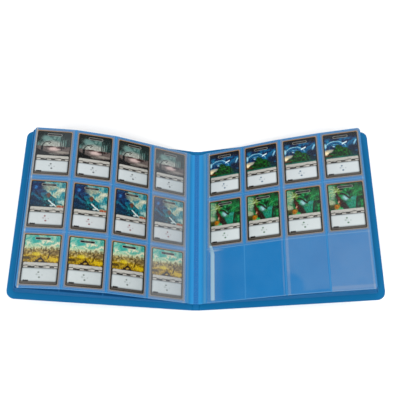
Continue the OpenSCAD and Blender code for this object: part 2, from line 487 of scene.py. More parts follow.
def film_material(name, side, look, cards, seed):
    """Clear film over one column, with painted highlights and reflections in its alpha. UV runs 0 to 1 from left
    to right, and up the page in metres.
    """
    t = Tree(name)
    where = t.vector(t.u * POCKET_W + seed, t.v)
    cloud = t.noise(where, 16.0, 4.0, 0.6, 0.4)
    fine = t.noise(where, 420.0, 3.0, 0.6)
    outer, inner = (1 - t.u, t.u) if side > 0 else (t.u, 1 - t.u)
    row = abs(t.math("FRACT", (t.v - LEAF_H / 2) / POCKET_H + 8.5) - 0.5) * POCKET_H
    foot = t.step(t.v, -0.042, -0.056)
    alpha = t.step(cloud, 0.3, 0.75, look["clear"], look["clear"] + look["haze"])
    # painted highlight along the welded side of the column, wavering up the page
    wobble = t.step(t.noise(t.vector(seed, t.v), 30.0, 3.0, 0.6), 0.25, 0.6, 0.35, 1.0)
    alpha = alpha + t.step(abs(outer - 0.035), 0.028, 0.010) * wobble * look["streak"]
    # painted highlight along the open edge
    alpha = alpha + t.step(abs(inner - 0.045), 0.05, 0.02) * look["lip"]
    alpha = alpha + t.step(row, 0.0020, 0.0006) * 0.07
    # painted highlight round the edge of each card, where the film is lifted over it
    tone = "e0e9f2"
    for u0, u1, v0, v1 in cards:
        du = (abs(t.u - (u0 + u1) / 2) - (u1 - u0) / 2) * POCKET_W
        dv = abs(t.v - (v0 + v1) / 2) - (v1 - v0) / 2
        d = t.math("MAXIMUM", du, dv)
        lifted_edge_highlight = t.step(abs(d - 0.0009), 0.0026, 0.0006)
        alpha = alpha + lifted_edge_highlight * 0.30
        tone = t.mix(lifted_edge_highlight * 0.8, tone, "9c9a94")
    if look["foot"]:
        # painted reflection low on the page, with a clear corner cut out of it
        dark = t.blob(0.06, -0.137, 0.34, 0.026, 0.5) if look["notch"] else None
        extra = foot * look["foot"]
        if dark:
            extra = extra * (1 - dark) * t.step(t.v, -0.1445, -0.1405)
        alpha = alpha + extra
    if look["glare"]:
        # reflection along the film's inner edge: narrow beside the cards, wide beside the empty pocket
        low = t.step(t.v, -0.030, -0.062)
        centre = 0.085 + 0.075 * low
        wide = abs(inner - centre)
        strip = t.step(wide, 0.018 + 0.055 * low, 0.006 + 0.030 * low)
        tail = t.step(inner, 0.55, 0.20) * t.step(inner, 0.12, 0.16) * low * 0.05
        shine = strip * t.step(t.v, -0.1465, -0.1425)
        glow = t.step(abs(inner - 0.085), 0.032, 0.008) * t.step(t.v, 0.035, -0.020) * (1 - low)
        arm = t.step(abs(t.v + 0.0530), 0.0026, 0.0008)
        arm = arm * t.step(inner, 0.55, 0.12) * t.step(inner, 0.05, 0.09)
        shine = t.math("MAXIMUM", shine, t.math("MAXIMUM", glow * 0.9, arm * 0.7))
        alpha = alpha + shine * (0.16 + 0.36 * low) + tail
        tone = t.mix(shine, tone, "ccf1ff")
    # painted highlight: a bright line across the film near the bottom of the page
    if look["sill"]:
        alpha = alpha + t.step(abs(t.v + 0.1425), 0.0045, 0.0015) * look["sill"]
    alpha = t.math("MINIMUM", alpha + t.facing(0.35) * 0.03, 0.92)
    t.bump(cloud * 0.8 + fine * 0.1, 0.3, 0.0006)
    return t.set(Base_Color=tone, Roughness=0.16 + 0.2 * cloud, Specular_IOR_Level=0.3, Alpha=alpha)


# ------------------------ printed cards


def card_frame(t, picture, box_tone, mark_tone, plate_mid):
    """Everything round a card's picture: outline, frame, name plate, ribbon, box and small marks.

    There is no lettering."""
    t.straight()
    where = t.vector(t.u, t.v * ASPECT)
    rough = t.noise(where, 22.0, 4.0, 0.6, 0.0, 2.0)
    fine = t.noise(where, 60.0, 3.0, 0.6, 0.0, 2.2)
    edge = t.mix(t.step(t.v, 0.72, 1.0), "8c7c69", "b8853f")
    side = t.mix(rough, "040303", "211b16")
    t.art = t.mix(t.panel(0.020, 0.980, 0.015, 0.985, 0.045, 0.014), edge, side)
    t.over(t.panel(0.052, 0.948, 0.420, 0.968, 0.02, 0.012), picture)
    # strip under the box
    strip = t.panel(0.05, 0.95, 0.028, 0.075, 0.03, 0.03)
    t.over(strip * fine, "6d665d")
    # ribbon with a broken wavy line of dark strokes
    ribbon = t.panel(0.072, 0.945, 0.322, 0.432, 0.03, 0.012)
    pale = t.ramp(fine, (0.1, "97948c"), (0.5, "c2c0b8"), (0.9, "dedcd5"))
    t.over(ribbon, pale)
    wave = t.math("SINE", t.u * 15.0 + 0.9) * 0.007 + t.math("SINE", t.u * 34.0) * 0.004
    gaps = t.step(t.math("SINE", t.u * 24.0 + 1.2) + t.math("SINE", t.u * 41.0) * 0.6, -0.5, 0.3)
    inner = t.panel(0.04, 0.96, 0.28, 0.45, 0.02, 0.012)
    t.over(t.line(wave + 0.350, 0.013, 0.008) * inner * gaps, "1d1a16")
    second = t.line(wave * -0.8 + 0.370, 0.007, 0.010) * inner * (1 - gaps * 0.7) * 0.9
    t.over(second, "4a4740")
    t.over(t.line(wave * 0.3 + 0.327, 0.004, 0.007) * inner * 0.8, "2b2823")
    # pale box
    box = t.panel(0.060, 0.940, 0.072, 0.322, 0.035, 0.014)
    paper = t.mix(t.noise(where, 9.0, 4.0, 0.6) * 0.6, box_tone, "dde2e3")
    rim = t.panel(0.078, 0.922, 0.086, 0.308, 0.03, 0.05)
    t.over(box, t.mix(rim, "9aa3a6", paper))
    for u, v, r, share in ((0.475, 0.246, 0.026, 0.9), (0.440, 0.205, 0.030, 0.35), (0.505, 0.150, 0.028, 0.9),
                           (0.575, 0.195, 0.018, 0.4), (0.500, 0.200, 0.016, 0.3)):
        t.over(t.blob(u, v, r, r * 0.6, 0.7) * share, mark_tone)
    # black marks under the box's left end
    for u in (0.125, 0.172, 0.219):
        t.over(t.blob(u, 0.078, 0.026, 0.019, 0.4), "050404")
    # name plate, dark with a thin pale outline
    t.over(t.panel(0.300, 0.710, 0.880, 0.932, 0.036, 0.014), "b2b3ac")
    t.over(t.panel(0.310, 0.700, 0.886, 0.926, 0.028, 0.012), "100d0b")
    middle = t.panel(0.415, 0.600, 0.895, 0.917, 0.020, 0.02) * 0.9
    t.over(middle, t.mix(fine, "2b2621", plate_mid))
    t.bump(fine * 0.2 + rough * 0.3, 0.12, 0.0003)
    return t.set(Base_Color=t.art, Roughness=0.34 + 0.12 * fine, Specular_IOR_Level=0.10)


def start_art(t, amount=0.06):
    """Coarse, middling and fine noise for a picture, whose shapes get edges warped by amount."""
    t.warp(amount, 9.0)
    where = t.vector(t.u0, t.v0 * ASPECT)
    return (t.noise(where, 5.0, 4.0, 0.6, 0.8, 2.2), t.noise(where, 15.0, 4.0, 0.6, 0.5, 2.2),
            t.noise(where, 34.0, 3.0, 0.6, 0.0, 2.2))


def art_moor(t):
    """Grey moor with a pale dome, a pink pool and a bare tree."""
    cloud, fine, grit = start_art(t, 0.05)
    t.art = t.ramp(cloud, (0.10, "102c2c"), (0.40, "3b5f5d"), (0.65, "74948f"), (0.90, "aebfba"))
    t.over(t.step(t.v, 0.84, 0.95) * 0.9, "0b1a17")
    t.spots((0.07, 0.86, 0.16, 0.13, 1.0, 0.85, "061513"), (0.30, 0.82, 0.13, 0.06, 1.0, 0.7, "8fb0ab"),
            (0.66, 0.80, 0.10, 0.05, 1.0, 0.5, "7fa39d"), (0.88, 0.88, 0.20, 0.10, 1.0, 0.85, "0a2c2b"),
            (0.96, 0.72, 0.12, 0.12, 1.0, 0.6, "16312f"))
    dome = t.mix(fine, "8d918b", "cfd2ca")
    t.over(t.blob(0.46, 0.660, 0.29, 0.105, 0.9), dome)
    t.over(t.step(t.v, 0.655, 0.635), t.mix(fine, "544c49", "8f8480"))
    t.spots((0.53, 0.585, 0.15, 0.045, 1.2, 0.9, "dcc9c4"), (0.38, 0.630, 0.13, 0.014, 0.9, 0.85, "43211f"),
            (0.70, 0.612, 0.13, 0.022, 0.9, 0.95, "4a211f"), (0.86, 0.560, 0.16, 0.045, 1.0, 0.7, "7a6f6b"),
            (0.75, 0.515, 0.18, 0.026, 1.0, 0.8, "a9a39b"))
    t.over(t.step(t.v + t.u * 0.26 + grit * 0.04, 0.645, 0.590), "080907")
    t.over(t.step(t.v - abs(t.u - 0.5) * 0.10 + grit * 0.03, 0.480, 0.440), "0e0f0c")
    t.over(t.blob(0.50, 0.475, 0.10, 0.020, 0.9) * t.step(grit, 0.3, 0.7), "7e7f78")
    t.over(t.blob(0.185, 0.60, 0.035, 0.060, 0.6), "060706")
    for ends in ((0.19, 0.655, 0.27, 0.735), (0.27, 0.735, 0.36, 0.752), (0.36, 0.752, 0.42, 0.728),
                 (0.42, 0.728, 0.375, 0.700), (0.375, 0.700, 0.345, 0.718)):
        t.over(t.stroke(*ends, 0.008) * 0.95, "1c201c")
    for u, low, high in ((0.68, 0.62, 0.86), (0.725, 0.56, 0.93), (0.785, 0.60, 0.90), (0.86, 0.62, 0.82)):
        t.over(t.stroke(u, low, u + 0.02, high, 0.008, 0.012) * 0.9, "16241f")
    t.over(t.step(grit, 0.45, 0.10) * 0.35, "070a09")


def art_peak(t):
    """Blue mountain with a tower, clouds and a white path."""
    cloud, fine, grit = start_art(t, 0.07)
    t.art = t.ramp(cloud, (0.32, "0c2345"), (0.50, "16507a"), (0.68, "2b7f95"))
    pale = t.ramp(cloud, (0.34, "3f93a0"), (0.5, "7db9b8"), (0.62, "c3cdb9"))
    t.over(t.step(t.u + (t.v - 0.75) * 0.5 + fine * 0.1, 0.44, 0.60), pale)
    t.spots((0.10, 0.86, 0.22, 0.10, 1.0, 0.8, "103068"), (0.16, 0.845, 0.040, 0.028, 1.2, 0.8, "5a94cc"))
    t.over(t.blob(0.52, 0.845, 0.17, 0.060, 1.1) * 0.8, t.mix(fine, "6f8f8c", "c9c4ab"))
    t.spots((0.85, 0.800, 0.10, 0.040, 0.9, 0.9, "e3e2cf"), (0.92, 0.700, 0.10, 0.030, 0.9, 0.7, "3b9fb0"))
    slope = t.step(t.v + abs(t.u - 0.51) * 0.62, 0.755, 0.735)
    t.over(slope, t.ramp(fine, (0.3, "0a3444"), (0.5, "1a6572"), (0.7, "3b959a")))
    t.over(t.step(t.u, 0.42, 0.30) * t.step(t.v, 0.70, 0.62) * 0.85, t.mix(fine, "071c33", "1d5a7e"))
    t.spots((0.51, 0.685, 0.055, 0.050, 0.8, 0.95, "7d5440"), (0.74, 0.600, 0.14, 0.035, 0.9, 0.8, "2f8f9c"),
            (0.88, 0.555, 0.12, 0.035, 0.9, 0.8, "b9d3cd"))
    t.over(t.stroke(0.08, 0.62, 0.40, 0.50, 0.030, 0.03) * 0.7, "0a3350")
    t.over(t.stroke(0.12, 0.70, 0.30, 0.60, 0.012, 0.03) * 0.6, "3c8fa8")
    t.over(t.step(t.v + grit * 0.04, 0.505, 0.480) * t.step(t.u, 0.80, 0.60), t.mix(fine, "08131f", "2b5566"))
    t.over(t.stroke(0.53, 0.570, 0.72, 0.465, 0.013, 0.010), "dfe9e6")
    t.spots((0.62, 0.475, 0.055, 0.020, 0.7, 1.0, "c9dad8"), (0.515, 0.475, 0.040, 0.020, 0.7, 1.0, "0a161d"))
    t.over(t.step(t.u, 0.72, 0.76) * t.step(t.v, 0.500, 0.475), t.mix(fine, "7d6a52", "d6c9ad"))
    for u in (0.79, 0.85, 0.91):
        t.over(t.blob(u, 0.458, 0.024, 0.022, 0.6), "b4482a")
    t.over(t.step(grit, 0.55, 0.15) * 0.6, "04101c")


def art_field(t):
    """Golden field with a dark roof under a pale teal sky."""
    cloud, fine, grit = start_art(t)
    t.art = t.ramp(cloud, (0.32, "5aafa6"), (0.50, "94c9b8"), (0.62, "d0d8c2"), (0.74, "e2e0ca"))
    t.over(t.blob(0.20, 0.90, 0.28, 0.07, 1.0) * 0.6, "4fb3ab")
    t.over(t.step(t.v, 0.82, 0.72) * 0.7, "d6d5b0")
    far = t.ramp(fine, (0.30, "726544"), (0.52, "9f8f60"), (0.74, "c2b380"))
    t.over(t.step(t.v + grit * 0.10 - t.u * 0.02, 0.765, 0.735), far)
    near = t.ramp(fine, (0.26, "7d6727"), (0.48, "aa9038"), (0.70, "c9b14d"), (0.85, "dcc974"))
    t.over(t.step(t.v + fine * 0.08 + abs(t.u - 0.3) * 0.06, 0.680, 0.630), near)
    t.spots((0.38, 0.600, 0.10, 0.035, 1.0, 0.7, "e0cf55"), (0.82, 0.500, 0.14, 0.035, 1.0, 0.7, "dcc13f"),
            (0.83, 0.640, 0.15, 0.040, 1.0, 0.6, "84704c"), (0.10, 0.520, 0.18, 0.030, 1.0, 0.85, "4a3c10"))
    for u, v, r in ((0.49, 0.728, 0.022), (0.60, 0.712, 0.030), (0.76, 0.722, 0.045), (0.90, 0.705, 0.030),
                    (0.30, 0.712, 0.018)):
        t.over(t.blob(u, v, r, 0.030, 0.8) * 0.6, "6b5d3e")
    for row in ((0.66, 0.50, 0.715, 0.585, 0.008), (0.715, 0.585, 0.69, 0.66, 0.007),
                (0.715, 0.60, 0.80, 0.665, 0.007), (0.55, 0.66, 0.66, 0.685, 0.007)):
        t.over(t.stroke(*row) * 0.85, "4a3814")
    off = abs(t.u - 0.48)
    t.over(t.step(t.v + off * 0.60, 0.548, 0.536) * t.step(off, 0.165, 0.150), t.mix(fine, "20150a", "4a3318"))
    t.over(t.blob(0.49, 0.470, 0.050, 0.020, 0.6), "b39c5c")
    t.over(t.step(t.v, 0.452, 0.436) * 0.75, "3d2f12")
    t.over(t.step(grit, 0.50, 0.15) * 0.35, "2b2008")


def art_swirl(t):
    """Night sky of blue swirls over a green hill."""
    cloud, fine, grit = start_art(t, 0.05)
    t.art = t.ramp(cloud, (0.10, "041022"), (0.42, "0a3a68"), (0.68, "1c76a0"), (0.92, "46a6c0"))
    t.over(t.step(t.v, 0.85, 0.93) * 0.9, "060e1a")
    ring = t.math("SQRT", (t.u - 0.34) * (t.u - 0.34) * 0.60 + (t.v - 0.66) * (t.v - 0.66) * 2.1)
    for radius, width, tone in ((0.225, 0.024, "a9dcf0"), (0.175, 0.016, "3b8dbb"), (0.125, 0.016, "7cc0dc")):
        band = t.step(abs(ring - radius), width, width * 0.2)
        t.over(band * t.step(t.v, 0.66, 0.74) * t.step(fine, 0.15, 0.5) * 0.95, tone)
    t.over(t.blob(0.07, 0.725, 0.035, 0.055, 0.9) * 0.9, "b9e4f2")
    t.over(t.stroke(0.545, 0.742, 0.66, 0.775, 0.014, 0.016), "e6f6fb")
    t.over(t.stroke(0.86, 0.70, 0.92, 0.79, 0.014, 0.026) * 0.9, "a9dcf2")
    t.spots((0.30, 0.700, 0.030, 0.012, 0.9, 0.9, "cdeaf2"), (0.82, 0.630, 0.16, 0.08, 1.0, 0.85, "06203a"),
            (0.07, 0.555, 0.13, 0.055, 1.0, 1.0, "fbeccb"), (0.19, 0.610, 0.11, 0.030, 1.0, 0.7, "d9d3b8"))
    # the height of the hill along the card is the red of a ramp
    top = t.ramp(t.u, *((u, (height, 0, 0, 1)) for u, height in (
        (0.0, 0.475), (0.22, 0.580), (0.42, 0.735), (0.60, 0.665), (0.80, 0.580), (1.0, 0.530))))
    red = t.nodes.new("ShaderNodeSeparateColor")
    t.put(red.inputs[0], top)
    green = t.ramp(fine, (0.15, "020a05"), (0.45, "0e3a17"), (0.70, "22702c"), (0.95, "4f9c44"))
    green = t.mix(t.step(t.u, 0.64, 0.86), green, t.mix(fine, "020b14", "0f4a5a"))
    t.over(t.step(t.v + grit * 0.05 - Value(t, red.outputs[0]), 0.034, 0.014), green)
    t.over(t.blob(0.10, 0.500, 0.14, 0.020, 0.8) * 0.85, "6a4420")
    t.over(t.step(t.v + grit * 0.03, 0.490, 0.468), t.mix(fine, "05383a", "2f8f7c"))
    t.over(t.step(grit, 0.45, 0.10) * 0.4, "010a12")


def art_forest(t):
    """Green forest with a brown trunk and an orange glow."""
    cloud, fine, grit = start_art(t, 0.08)
    t.art = t.ramp(cloud, (0.32, "072a18"), (0.48, "14673a"), (0.64, "2f9a5c"), (0.78, "62bd86"))
    t.over(t.step(fine, 0.55, 0.42) * t.step(t.u, 0.45, 0.6) * 0.60, "0c4024")
    t.over(t.blob(0.10, 0.80, 0.16, 0.16, 1.0) * 0.85, t.mix(fine, "5f9e78", "cde6cf"))
    t.spots((0.28, 0.83, 0.08, 0.08, 1.0, 0.7, "86a13c"), (0.08, 0.58, 0.12, 0.06, 1.0, 0.85, "c3cfb2"),
            (0.12, 0.50, 0.16, 0.05, 1.0, 0.8, "55521c"))
    t.over(t.blob(0.64, 0.530, 0.16, 0.10, 1.0) * 0.85, t.mix(fine, "1f7f6a", "4fb79b"))
    t.over(t.blob(0.50, 0.675, 0.085, 0.055, 0.9) * 0.95, t.mix(fine, "7fc3c6", "cfeaec"))
    t.spots((0.70, 0.650, 0.09, 0.04, 0.9, 0.7, "58b0a6"), (0.88, 0.84, 0.16, 0.08, 1.0, 0.55, "2a9455"))
    for *ends, w, tone in (
            (0.50, 0.44, 0.36, 0.60, 0.060, "24120a"), (0.36, 0.60, 0.27, 0.73, 0.042, "40200f"),
            (0.27, 0.73, 0.24, 0.84, 0.022, "3a2a16"), (0.34, 0.55, 0.30, 0.68, 0.018, "7a2f1a"),
            (0.36, 0.765, 0.47, 0.755, 0.014, "10160f"), (0.47, 0.755, 0.53, 0.70, 0.018, "10160f"),
            (0.53, 0.70, 0.60, 0.655, 0.020, "0d1310"), (0.60, 0.655, 0.66, 0.70, 0.012, "10160f"),
            (0.76, 0.44, 0.80, 0.66, 0.018, "0b2a1a")):
        t.over(t.stroke(*ends, w, 0.018) * 0.95, t.mix(grit * 0.5, tone, "5a4630"))
    for u, v in ((0.08, 0.90), (0.05, 0.80), (0.12, 0.73), (0.20, 0.93), (0.36, 0.91), (0.41, 0.83)):
        t.over(t.stroke(0.25, 0.82, u, v, 0.008, 0.016) * t.step(grit, 0.2, 0.6) * 0.85, "c6d6a4")
    for u, v, ru in ((0.74, 0.78, 0.07), (0.88, 0.71, 0.06), (0.68, 0.86, 0.06), (0.92, 0.58, 0.05),
                     (0.60, 0.60, 0.05)):
        t.over(t.blob(u, v, ru, ru * 0.5, 1.2) * t.step(grit, 0.3, 0.7) * 0.7, "5fae6c")
    t.over(t.blob(0.25, 0.500, 0.075, 0.050, 0.9), t.mix(fine, "8a4a14", "e0a548"))
    t.over(t.blob(0.31, 0.590, 0.020, 0.020, 0.9) * 0.9, "e0b8a0")
    t.over(t.step(grit, 0.55, 0.15) * 0.6, "020b06")


ARTS = {
    ("left", 1): (art_moor, "ccd6d8", "4a4e52", "3d3a36"),
    ("left", 2): (art_peak, "c8d0d2", "8a3f45", "8d8d84"),
    ("left", 3): (art_field, "c2cccd", "6f7a72", "6f7a74"),
    ("right", 1): (art_swirl, "d6dfe2", "35607f", "3a4a58"),
    ("right", 2): (art_forest, "d4dedf", "3f6f4a", "4a5a4a"),
}
CARD = {}
for key, (art, box_tone, mark_tone, plate_mid) in ARTS.items():
    tree = Tree("card_print_%s_%d" % key)
    art(tree)
    CARD[key] = card_frame(tree, tree.contrast(tree.art, 1.28, 1.34, 1.06), box_tone, mark_tone, plate_mid)

COVER, CENTRE = cover_material(), weld_material()

# ------------------------ cards


CARD_RADIUS, CARD_EDGE = 3 * MM, 0.06 * MM
CORNER_STEPS = 8


def card(side_name, row, column):
    """A card with rounded corners and eased edges, in the place of its CAD node."""
    node = f"{side_name}_card_{row}_{column}"
    part = max(column - 2, 0)
    seg = SEGMENTS[side_name][part]
    (a0, a1), (y0, y1), (b0, b1) = seg.span(node)
    radius, verts, uvs, faces, ring = CARD_RADIUS, [], [], [], []
    for ca, cy, start in ((a1 - radius, y1 - radius, 0), (a0 + radius, y1 - radius, 90),
                          (a0 + radius, y0 + radius, 180), (a1 - radius, y0 + radius, 270)):
        for k in range(CORNER_STEPS + 1):
            angle = math.radians(start + k * 90 / CORNER_STEPS)
            ring.append((ca, cy, math.cos(angle), math.sin(angle)))
    for inset, b in ((CARD_EDGE, b1), (0.0, b1 - CARD_EDGE), (0.0, b0 + CARD_EDGE), (CARD_EDGE, b0)):
        for ca, cy, c, s in ring:
            a, y = ca + c * (radius - inset), cy + s * (radius - inset)
            verts.append(seg.point(a, y, b))
            across = (a - a0) / (a1 - a0)
            uvs.append((across if seg.side > 0 else 1 - across, (y - y0) / (y1 - y0)))
    n = len(ring)
    top, low = list(range(n)), list(range(3 * n, 4 * n))
    faces.append(tuple(top) if seg.side > 0 else tuple(reversed(top)))
    faces.append(tuple(reversed(low)) if seg.side > 0 else tuple(low))
    for k in range(3):
        for i in range(n):
            j = (i + 1) % n
            q = (k * n + i, (k + 1) * n + i, (k + 1) * n + j, k * n + j)
            faces.append(q if seg.side > 0 else tuple(reversed(q)))
    o = make(f"card_{side_name}_{row}_{column}", verts, faces, uvs, CARD[(side_name, row)], 50)
    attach(o, node)
    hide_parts(node)


for side_name, rows_filled in (("left", 3), ("right", 2)):
    for row in range(1, rows_filled + 1):
        for column in range(1, 5):
            card(side_name, row, column)

# ------------------------ the two top leaves and the second left leaf


LEAF_RADIUS = 5 * MM


def outer_rows(seg, a0, a1, b, count, start):
    """Flat rows to a leaf's outer edge, closer together over its round corners."""
    rows = flat_rows(seg, a0, a1 - LEAF_RADIUS, b, count, start)
    return rows + flat_rows(seg, a1 - LEAF_RADIUS, a1, b, 8, start)[1:]


def top_leaf(side_name, number, b_top, thickness, material):
    """Sheet in three flat segments, with blended strips across the two bend lines."""
    segs, side, half = SEGMENTS[side_name], SIDES[side_name], LEAF_H / 2
    bodies = [f"{side_name}_leaf_{number}_{p}" for p in PARTS]
    ends = [(GUTTER, INNER_W - BEND), (BEND, POCKET_W - BEND), (BEND, POCKET_W)]
    for k, (a0, a1) in enumerate(ends):
        outermost = k == 2
        if outermost:
            rows = outer_rows(segs[k], a0, a1, b_top, 10, STARTS[k])
        else:
            rows = flat_rows(segs[k], a0, a1, b_top, 16, STARTS[k])
        o = plate(f"leaf_{side_name}_{number}_{PARTS[k]}", rows, thickness, material, half,
                  round_out=LEAF_RADIUS if outermost else 0.0)
        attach(o, bodies[k])
        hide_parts(bodies[k])
    for k in (0, 1):
        p0 = segs[k].point(ends[k][1], 0, b_top)
        p1 = segs[k + 1].point(BEND, 0, b_top)
        a0 = STARTS[k] + ends[k][1]
        rows = curve_rows(p0, segs[k].a, p1, segs[k + 1].a, a0, a0 + 2 * BEND, side, 10)
        o = plate(f"leaf_{side_name}_{number}_bend_{k + 1}", rows, thickness, material, half)
        bodies[k + 1]
        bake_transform(o)


# distances from the weld's axis: where the margins start inside the weld, where the right top leaf's margin
# starts and a point further out, and how far they run level before they rise to the pockets
ROOT_X, BEND_FROM, BEND_TO = 3.4 * MM, 3.6 * MM, 5.0 * MM
FLAT_X = {"left": 6.4 * MM, "right": 7.0 * MM}
LOWER_FLAT_X = 7.5 * MM
SHEET_T = 0.3 * MM


def margin_rows(p0, flat_x, p1, along, side):
    """Rows from the centre weld to a pocket edge: level to flat_x, then steeply up to the edge."""
    level_way = Vector((side, 0, 0))
    mid = Vector((side * flat_x, 0, p0.z + 0.25 * MM))
    lift = Vector((side, 0, 0.16)).normalized()
    rows = curve_rows(p0, level_way, mid, lift, abs(p0.x), flat_x, side, 12)
    return rows + curve_rows(mid, lift, p1, along, flat_x, GUTTER, side, 16, 1.25)[1:]


def margin_sheet(name, side, start_x, drop, flat_x, p1, along, thickness, material):
    """Margin between the centre weld and the first pocket, from start_x level out to flat_x and then up to the
    pocket edge.
    """
    p0 = Vector((side * start_x, 0, WELD.z - drop))
    rows = margin_rows(p0, flat_x, p1, along, side)
    o = plate(name, rows, thickness, material, LEAF_H / 2, inner_t=0.12 * MM)
    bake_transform(o)


BACK_T = BACKING_B[1] - BACKING_B[0]
top_leaf("left", 1, BACKING_B[1], BACK_T, LEAF)
top_leaf("right", 1, BACKING_B[1], BACK_T, LEAF)
# the left leaf turns about the weld on its own, and its margin starts further from the weld's axis than the right
# one
for side_name, start_x, bend_x, holder in (("left", 4.5 * MM, 7.2 * MM, "left_leaf_2_inner"),
                                           ("right", BEND_FROM, BEND_TO, "spine")):
    seg = SEGMENTS[side_name][0]
    margin_sheet("gutter_" + side_name, SIDES[side_name], start_x, 0.16 * MM, FLAT_X[side_name],
                 seg.point(GUTTER, 0, BACKING_B[1]), seg.a, BACK_T, LEAF)


def second_leaf():
    """Second leaf on the left, an empty one that is bent like the first, at its own level."""
    segs = SEGMENTS["left"]
    saved = [s.origin.copy() for s in segs]
    line_1 = Vector(JOINTS["left_leaf_2_bend_1"]["pos_m"])
    line_2 = Vector(JOINTS["left_leaf_2_bend_2"]["pos_m"])
    fold = (line_1 - WELD).dot(segs[0].b)
    segs[1].origin = line_1 - segs[1].b * fold
    segs[2].origin = line_2 - segs[2].b * fold
    top = fold + 0.15 * MM
    top_leaf("left", 2, top, SHEET_T, SHADED_LOWER_SHEET)
    margin_sheet("margin_left_2", -1, ROOT_X, 0.45 * MM, FLAT_X["left"], segs[0].point(GUTTER, 0, top), segs[0].a,
                 SHEET_T, SHADED_LOWER_SHEET)
    for s, origin in zip(segs, saved):
        s.origin = origin


second_leaf()

# ------------------------ lower leaves

# every leaf stands at this angle when its cover is closed, so a leaf's rise at rest is this less its range
CLOSED_DEG = math.degrees(math.asin(SEGMENTS["left"][0].a.z)) + JOINTS["left_leaf_2_fold"]["range_deg"][1]


def root_drop(number):
    """How far below the weld's axis a lower leaf meets the weld."""
    return (1.19 + 0.26 * (number - 2)) * MM


def lower_leaf(node):
    """One of the empty leaves under the top ones: a flat plate and the margin that bends beside the weld."""
    side_name, _, number = node.split("_")
    side, place = SIDES[side_name], f"{side_name}_{number}"
    p = np.array([v.co for v in frame["nodes"][node].data.vertices], float) - np.array(WELD)
    rise = math.radians(CLOSED_DEG - JOINTS[node + "_fold"]["range_deg"][1])
    seg = Segment(side, WELD, (-side * math.cos(rise), 0, -math.sin(rise)))
    a, b = p @ np.array(seg.a), p @ np.array(seg.b)
    a1 = float(a.max())
    top = float(b[a > a1 - 10 * MM].max()) - 0.05 * MM
    margin_sheet("margin_" + place, side, ROOT_X, root_drop(int(number)), LOWER_FLAT_X,
                 seg.point(GUTTER, 0, top), seg.a, SHEET_T, SHADED_LOWER_SHEET)
    rows = outer_rows(seg, GUTTER, a1, top, 24, 0.0)
    new = plate("leaf_" + place, rows, SHEET_T, SHADED_LOWER_SHEET, LEAF_H / 2, round_out=LEAF_RADIUS)
    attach(new, node)
    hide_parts(node)


for name in sorted(frame["nodes"]):
    bits = name.split("_")
    if len(bits) == 3 and bits[1] == "leaf" and bits[2].isdigit():
        lower_leaf(name)

# ------------------------ clear pocket films

# how much each column's film whitens what is under it: where it is clearest, how much more where it is cloudy,
# the painted highlights at its welded side and open edge, and the painted reflection low on the page; some
# columns also get a painted reflection along the inner edge, a painted highlight line near the bottom of the page
# and a clear corner cut out of the low reflection
LOOKS = {
    ("left", 4): dict(clear=0.020, haze=0.04, streak=0.48, lip=0.06),
    ("left", 3): dict(clear=0.000, haze=0.012, streak=0.03, lip=0.06),
    ("left", 2): dict(clear=0.000, haze=0.012, streak=0.03, lip=0.06),
    ("left", 1): dict(clear=0.120, haze=0.05, streak=0.03, lip=0.10),
    ("right", 1): dict(clear=0.000, haze=0.012, lip=0.07, glare=True),
    ("right", 2): dict(clear=0.000, haze=0.008, streak=0.10),
    ("right", 3): dict(clear=0.012, haze=0.02, lip=0.11, foot=0.055, notch=True),
    ("right", 4): dict(clear=0.025, haze=0.03, streak=0.12, foot=0.075, sill=0.09),
}
SWELL, LIP, LIP_W = 0.12 * MM, 0.10 * MM, 3.0 * MM  # rise over a pocket and along its open edge
PINCH_ROW, PINCH_OUT = 3.0 * MM, 0.7 * MM  # over these widths the film comes down to its welds
WELD_GAP, BACK_GAP, BACK_FILM_T = 0.03 * MM, 0.06 * MM, 0.055 * MM


